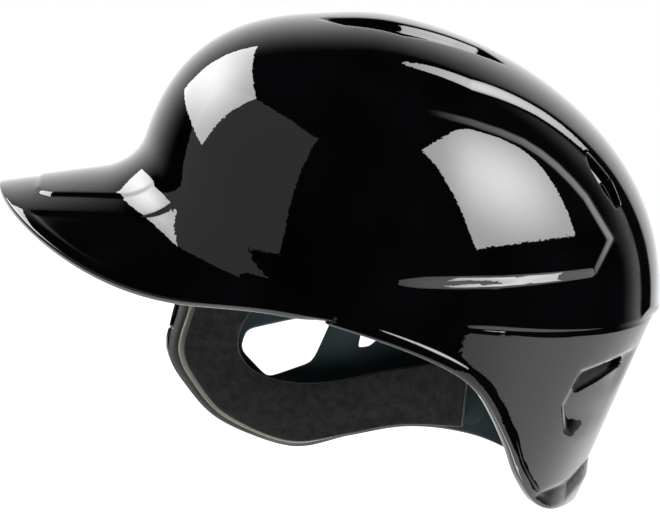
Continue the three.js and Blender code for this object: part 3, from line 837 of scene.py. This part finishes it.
def noise(tree, scale, detail=2, roughness=0.5, stretch=None):
    """Noise on Object coordinates; its factor output."""
    place = node(tree, "ShaderNodeTexCoord")
    texture = node(tree, "ShaderNodeTexNoise")
    texture.inputs["Scale"].default_value = scale
    texture.inputs["Detail"].default_value = detail
    texture.inputs["Roughness"].default_value = roughness
    if stretch:
        mapping = node(tree, "ShaderNodeMapping")
        mapping.inputs["Scale"].default_value = stretch
        tree.links.new(place.outputs["Object"], mapping.inputs[0])
        tree.links.new(mapping.outputs[0], texture.inputs[0])
    else:
        tree.links.new(place.outputs["Object"], texture.inputs[0])
    return texture.outputs[0]


def spread(tree, source, low, high, start=0.3, end=0.7):
    """Maps a factor onto a range of values."""
    made = node(tree, "ShaderNodeMapRange", in_1=start, in_2=end, in_3=low, in_4=high)
    tree.links.new(source, made.inputs[0])
    return made.outputs[0]


def bump(tree, height, distance, before=None):
    made = node(tree, "ShaderNodeBump")
    made.inputs["Distance"].default_value = distance
    tree.links.new(height, made.inputs["Height"])
    if before:
        tree.links.new(before, made.inputs["Normal"])
    return made.outputs[0]


def tint(tree, source, dark, light, start=0.3, end=0.7):
    """Colour between two values along a factor."""
    ramp = node(tree, "ShaderNodeValToRGB")
    ramp.color_ramp.elements[0].position, ramp.color_ramp.elements[1].position = start, end
    ramp.color_ramp.elements[0].color, ramp.color_ramp.elements[1].color = (*dark, 1), (*light, 1)
    tree.links.new(source, ramp.inputs[0])
    return ramp.outputs[0]


gloss, tree, shader = finish("gloss_black", Coat_Weight=1.0, Coat_Roughness=0.015, Specular_IOR_Level=0.0)
side = node(tree, "ShaderNodeAttribute", attribute_name="inside")
blend = node(tree, "ShaderNodeMix", data_type="RGBA")
tree.links.new(side.outputs["Fac"], blend.inputs["Factor"])
OUTSIDE_BLACK = ((0.0004, 0.0004, 0.0005), (0.0011, 0.0011, 0.0014))
# inner face: the moulding's own bluer black, paled as painted reflection of the light on the glossy inside
INSIDE_TINT_AND_PAINTED_REFLECTION = ((0.020, 0.032, 0.036), (0.034, 0.048, 0.053))
tree.links.new(tint(tree, noise(tree, 35, 3), *OUTSIDE_BLACK), blend.inputs[6])
tree.links.new(tint(tree, noise(tree, 30, 3), *INSIDE_TINT_AND_PAINTED_REFLECTION), blend.inputs[7])
tree.links.new(blend.outputs[2], shader.inputs["Base Color"])
tree.links.new(spread(tree, noise(tree, 60, 4), 0.16, 0.3), shader.inputs["Roughness"])
peel = bump(tree, noise(tree, 600, 1), 0.00001)
swell = bump(tree, noise(tree, 70, 1), 0.00003, peel)
tree.links.new(swell, shader.inputs["Coat Normal"])
tree.links.new(swell, shader.inputs["Normal"])
shell.data.materials.append(gloss)
print("material", gloss.name)


# %% [markdown]
# ## Pads
# Each pad on the real helmet is a block of firm foam that takes the blow and a softer layer that
# touches the head. A block is modelled flat, where its rounded edges are easy, and is then bent onto
# the inside of the shell. The soft layers are blown up a little by a cloth simulation while they lie
# flat, so they crown between their edges, and are bent into place afterwards.

# %% Charts of the inside
def round_chart(azimuth, z):
    q = np.where(z > 0, np.arccos(np.clip(z / DOME_HEIGHT, 0, 1) ** (SIDE_POWER / 2)), np.pi / 2 - z / UNDER_REACH)
    return np.where((z < crease_height(azimuth))[..., None], skirt_point(azimuth, z), dome_point(azimuth, q))


def nape_chart(azimuth, z):
    return round_chart(180 - azimuth, z)


def crown_chart(x, y):
    def outside(z):
        up = z / DOME_HEIGHT
        out = (1 - up**SIDE_POWER) ** (1 / SIDE_POWER)
        shift = CROWN_SHIFT[0] * up + CROWN_SHIFT[1] * up * up
        return (abs(x - shift) / DOME_LENGTH) ** PLAN_POWER + (abs(y) / DOME_WIDTH) ** PLAN_POWER - out**PLAN_POWER
    return stack(x, y, solve(outside, np.full(x.shape, 1.0), np.full(x.shape, DOME_HEIGHT - 1e-6)))


def flap_chart(x, z):
    return skirt_point(azimuth_at(x, z), z)


def inwards(chart, a, b, depth):
    """Moves points of the smooth outer surface inwards by a depth."""
    p = chart(a, b)
    along = chart(a + 0.5, b) - chart(a - 0.5, b)
    over = chart(a, b + 0.5) - chart(a, b - 0.5)
    lean = np.cross(along, over)
    lean /= np.linalg.norm(lean, axis=-1, keepdims=True)
    to_middle = np.array([0, 0, -20.0]) - p
    lean *= np.sign((lean * to_middle).sum(-1))[..., None]
    return p + lean * depth[..., None]


def barrel(a, b, half_a, half_b):
    """Pad field about a middle, with its sides bowed out."""
    return lambda u, v: (a + half_a * u * (1 - 0.16 * v**4), b + half_b * v * (1 - 0.16 * u**4))


EAR_PAD_OUTER = [(-95.4, -2), (-97.4, -18), (-102.7, -38.4), (-94, -55.3), (-76.7, -72.6), (-45, -84), (-17, -79.2),
                 (11, -75), (46, -76)]
EAR_PAD_INNER = [(-56, -4), (-62, -18), (-71, -31), (-73, -42), (-66, -52), (-50, -58), (-30, -58.5),
                 (2, -52.5), (44, -47)]
OUTER_SHIFT = np.array([-2.0, -2.2])
INNER_SHIFT = np.array([2.0, 2.5])


def ear_band(u, v):
    """Band between the flap's edge and the ear hole."""
    outer_line, inner_line = through(EAR_PAD_OUTER, (u + 1) / 2), through(EAR_PAD_INNER, (u + 1) / 2)
    at = mix(outer_line + OUTER_SHIFT, inner_line + INNER_SHIFT, ((v + 1) / 2)[..., None])
    return at[..., 0], at[..., 1]


# %% Flat foam blocks
FIRM_START = 6.1
LAYER_GAP = 0.3


def flat_block(name, size, rounding, cell, taper=0.0):
    """Rounded slab lying on z = 0, in millimetres; taper draws its far face in."""
    long, wide, thick = size
    bpy.ops.object.select_all(action="DESELECT")
    bpy.ops.mesh.primitive_grid_add(
        x_subdivisions=max(4, round(long / cell)), y_subdivisions=max(4, round(wide / cell)), size=2)
    piece = bpy.context.object
    piece.name = piece.data.name = name
    at = corners_of(piece.data)
    set_corners(piece.data, at * [long / 2, wide / 2, 1])
    everything = np.ones(len(piece.data.polygons))
    edit(piece, "polygons", everything, lambda: bpy.ops.mesh.extrude_region_move(
        TRANSFORM_OT_translate={"value": (0, 0, thick)}))
    at = corners_of(piece.data)
    far = (at[:, 2] > thick / 2)[:, None]
    set_corners(piece.data, np.where(far, at * [1 - 2 * taper / long, 1 - 2 * taper / wide, 1], at))
    edit(piece, "vertices", np.ones(len(at)), lambda: bpy.ops.mesh.normals_make_consistent(inside=False))

    def round_off():
        bpy.ops.mesh.select_mode(type="EDGE")
        bpy.ops.mesh.select_all(action="DESELECT")
        bpy.ops.mesh.edges_select_sharp(sharpness=math.radians(50))
        bpy.ops.mesh.bevel(offset=rounding, segments=4, clamp_overlap=False)
    edit(piece, "vertices", np.ones(len(at)), round_off)
    return piece


def round_plan(at, size, radius):
    """Rounds the four corners of a flat block in plan."""
    inset = np.abs(at[:, :2]) - (np.array(size[:2]) / 2 - radius)
    both = (inset > 0).all(axis=1)
    pull = inset[both].max(axis=1) / np.linalg.norm(inset[both], axis=1)
    at[both, :2] = np.sign(at[both, :2]) * (np.array(size[:2]) / 2 - radius + inset[both] * pull[:, None])
    return at


def bend_onto(piece, chart, field, size, depths):
    """Bends a flat block onto the inside of the shell between two depths."""
    at = corners_of(piece.data)
    a, b = field(at[:, 0] / size[0] * 2, at[:, 1] / size[1] * 2)
    depth = mix(depths[0], depths[1], at[:, 2] / size[2])
    set_corners(piece.data, inwards(chart, a, b, depth) * MM)
    edit(piece, "vertices", np.ones(len(at)), lambda: bpy.ops.mesh.normals_make_consistent(inside=False))
    bpy.ops.object.shade_smooth()


# %% Blown-up soft layers
PRESSURE, BLOW_FRAMES = 4.0, 20


def puff(piece, size, cap, voxel):
    """Cloth simulation on a flat block, scaled to metres, with its back kept on its base."""
    set_corners(piece.data, corners_of(piece.data) * MM)
    piece.data.remesh_voxel_size = voxel * MM
    bpy.ops.object.select_all(action="DESELECT")
    piece.select_set(True)
    bpy.context.view_layer.objects.active = piece
    bpy.ops.object.voxel_remesh()
    still = corners_of(piece.data)
    cloth = piece.modifiers.new("blown_up", "CLOTH")
    cloth.settings.use_pressure = True
    cloth.settings.uniform_pressure_force = PRESSURE
    cloth.settings.effector_weights.gravity = 0
    scene = bpy.context.scene
    for number in range(1, BLOW_FRAMES + 1):
        scene.frame_set(number)
    blown = piece.evaluated_get(bpy.context.evaluated_depsgraph_get()).to_mesh()
    moved = corners_of(blown) - still
    scene.frame_set(1)
    piece.modifiers.remove(cloth)
    far = np.linalg.norm(moved, axis=1, keepdims=True)
    moved *= np.minimum(1, cap * MM / np.maximum(far, 1e-9))
    print(piece.name, "blown up by", round(float(far.max() / MM), 1), "mm, kept", cap)
    still = still + moved
    still[:, 2] = np.clip(still[:, 2], 0, None)
    limit = np.array(size[:2]) / 2 * MM
    still[:, :2] = np.clip(still[:, :2], -limit, limit)
    set_corners(piece.data, still / MM)
    smooth = piece.modifiers.new("fine", "SUBSURF")
    smooth.levels = smooth.render_levels = 1
    bpy.ops.object.modifier_apply(modifier=smooth.name)


# %% Pads of the dome and the nape
PADS = [
    # name, chart, field, size along and across, firm, soft, slot of the soft layer
    ("forehead", round_chart, barrel(0, 82, 34, 15), (108, 38), 9, 6, "soft_foam"),
    ("left_side", round_chart, barrel(-84, 36, 25, 19), (88, 38), 8, 5, "soft_foam"),
    ("right_side", round_chart, barrel(84, 36, 25, 19), (88, 38), 8, 5, "soft_foam"),
    ("left_rear", round_chart, barrel(-142, 28, 21, 20), (76, 40), 8, 5, "soft_foam"),
    ("right_rear", round_chart, barrel(142, 28, 21, 20), (76, 40), 8, 5, "soft_foam"),
    ("crown", crown_chart, barrel(-34, 0, 34, 30), (68, 60), 9, 6, "soft_foam"),
    ("nape", nape_chart, barrel(0, -52, 41, 31), (140, 64), 9, 4, "light_foam"),
]
pieces = {}


def dress(piece, slot):
    """Attaches a finished pad layer to the root, hides its imported part and keeps it with its slot."""
    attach(piece, "root")
    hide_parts(piece.name.removeprefix("fine_"))
    pieces[piece.name] = (piece, slot)


for name, chart, field, plan, firm, soft, slot in PADS:
    size = (*plan, firm)
    base_block = flat_block(f"fine_{name}_pad_base", size, 1.6, 4, taper=0.8)
    set_corners(base_block.data, round_plan(corners_of(base_block.data), size, 7))
    bend_onto(base_block, chart, field, size, (FIRM_START, FIRM_START + firm))
    dress(base_block, "firm_foam")

    size = (plan[0], plan[1], soft)
    cushion = flat_block(f"fine_{name}_pad_cushion", (plan[0] - 3, plan[1] - 3, soft * 0.9), 1.8, 4, taper=1.0)
    set_corners(cushion.data, round_plan(corners_of(cushion.data), (plan[0] - 3, plan[1] - 3), 8))
    puff(cushion, size, 2.5, 2.2)
    start = FIRM_START + firm + LAYER_GAP
    bend_onto(cushion, chart, field, size, (start, start + soft))
    dress(cushion, slot)

# %% Ear pad
EAR_SIZE = (268, 35)
EAR_LAYERS = [
    # name, slot, depth from, depth to, outer side drawn in, other sides drawn in, edge rounding, fill
    ("ear_pad_base", "firm_foam", FIRM_START, FIRM_START + 6, 0.0, 0.6, 1.2, 1.0),
    ("ear_pad_lining", "beige_foam", 12.4, 14.4, 3.2, 1.2, 0.6, 1.0),
    ("ear_pad_cover", "brushed_fabric", 14.7, 16.7, 5.0, -0.4, 0.9, 0.9),
]
COVER_CROWN = 1.1
# how much further back each layer ends, so that the cover hides the ends of the two below it
REAR_STRETCH = {"ear_pad_base": -5.0, "ear_pad_lining": -3.0, "ear_pad_cover": 6.0}
for name, slot, start, stop, outer_in, other_in, rounding, fill in EAR_LAYERS:
    size = (EAR_SIZE[0] - 2 * other_in, EAR_SIZE[1] - outer_in - other_in, stop - start)
    layer = flat_block("fine_" + name, size, rounding, 3.0, taper=1.2 if name == "ear_pad_base" else 0.3)
    at = round_plan(corners_of(layer.data), size, 8)
    at[:, 1] += (outer_in - other_in) / 2
    rear = smooth_step(0.05, 0.45, at[:, 0] / size[0])
    if name != "ear_pad_base":
        outer_share = np.clip(0.5 - at[:, 1] / size[1], 0, 1)
        at[:, 1] -= (outer_in - 0.6) * smooth_step(0.0, 0.25, at[:, 0] / size[0]) * outer_share
    at[:, 0] += REAR_STRETCH[name] * rear
    if name == "ear_pad_cover":
        sideways = np.clip((at[:, 1] - (outer_in - other_in) / 2) / size[1], -0.5, 0.5)
        crown = (1 - (2 * at[:, 0] / size[0]) ** 6) * np.cos(np.pi * sideways)
        at[:, 2] += COVER_CROWN * crown * (at[:, 2] > 1)
    set_corners(layer.data, at)
    bend_onto(layer, flap_chart, ear_band, (*EAR_SIZE, stop - start), (start, stop))
    dress(layer, slot)
print("pads", len(pieces))

# %% [markdown]
# ## Foam, fabric and hook tape
# Closed-cell foam has a fine skin of tiny cells. The cover of the ear pad is a brushed knit, with a
# nap that catches light at its edges and lies in soft patches. Hook tape is rows of small hooks.

# %% Foam materials
def foam(name, dark, light, cell=1400, depth=0.0002):
    material, tree, shader = finish(name, Roughness=0.9, Specular_IOR_Level=0.25)
    patches = noise(tree, 45, 4)
    tree.links.new(tint(tree, patches, dark, light), shader.inputs["Base Color"])
    place = node(tree, "ShaderNodeTexCoord")
    cells = node(tree, "ShaderNodeTexVoronoi")
    cells.inputs["Scale"].default_value = cell
    tree.links.new(place.outputs["Object"], cells.inputs["Vector"])
    lumps = bump(tree, noise(tree, 160, 3), 0.0003)
    tree.links.new(bump(tree, cells.outputs["Distance"], depth, lumps), shader.inputs["Normal"])
    return material


def brushed(name, dark, light):
    material, tree, shader = finish(
        name, Roughness=0.95, Specular_IOR_Level=0.1, Sheen_Weight=0.35, Sheen_Roughness=0.5)
    tree.links.new(tint(tree, noise(tree, 240, 6, 0.75), dark, light, 0.36, 0.62), shader.inputs["Base Color"])
    nap = bump(tree, noise(tree, 900, 3, 0.7), 0.0003)
    tree.links.new(bump(tree, noise(tree, 200, 4), 0.0004, nap), shader.inputs["Normal"])
    return material


def hook_tape(name):
    material, tree, shader = finish(name, Roughness=0.7, Specular_IOR_Level=0.4)
    place = node(tree, "ShaderNodeTexCoord")
    hooks = node(tree, "ShaderNodeTexVoronoi")
    hooks.inputs["Scale"].default_value = 700
    hooks.inputs["Randomness"].default_value = 0.35
    tree.links.new(place.outputs["Object"], hooks.inputs["Vector"])
    tree.links.new(tint(tree, hooks.outputs["Distance"], (0.03, 0.03, 0.032), (0.006, 0.006, 0.007), 0, 0.5),
                   shader.inputs["Base Color"])
    tree.links.new(bump(tree, hooks.outputs["Distance"], 0.0006), shader.inputs["Normal"])
    return material


MATERIALS = {
    "firm_foam": foam("firm_foam", (0.035, 0.036, 0.033), (0.06, 0.061, 0.055)),
    "soft_foam": foam("soft_foam", (0.009, 0.009, 0.01), (0.015, 0.015, 0.017), 1900),
    "light_foam": foam("light_foam", (0.2, 0.21, 0.215), (0.27, 0.28, 0.285)),
    "beige_foam": foam("beige_foam", (0.17, 0.16, 0.13), (0.26, 0.245, 0.205)),
    "brushed_fabric": brushed("brushed_fabric", (0.0022, 0.0022, 0.0024), (0.0145, 0.0147, 0.0148)),
    "hook_tape": hook_tape("hook_tape"),
}
for piece, slot in pieces.values():
    piece.data.materials.clear()
    piece.data.materials.append(MATERIALS[slot])
for name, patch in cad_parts.items():
    if "hook_patch" in name:
        for number in range(len(patch.material_slots)):
            patch.material_slots[number].material = MATERIALS["hook_tape"]
print("materials", list(MATERIALS))
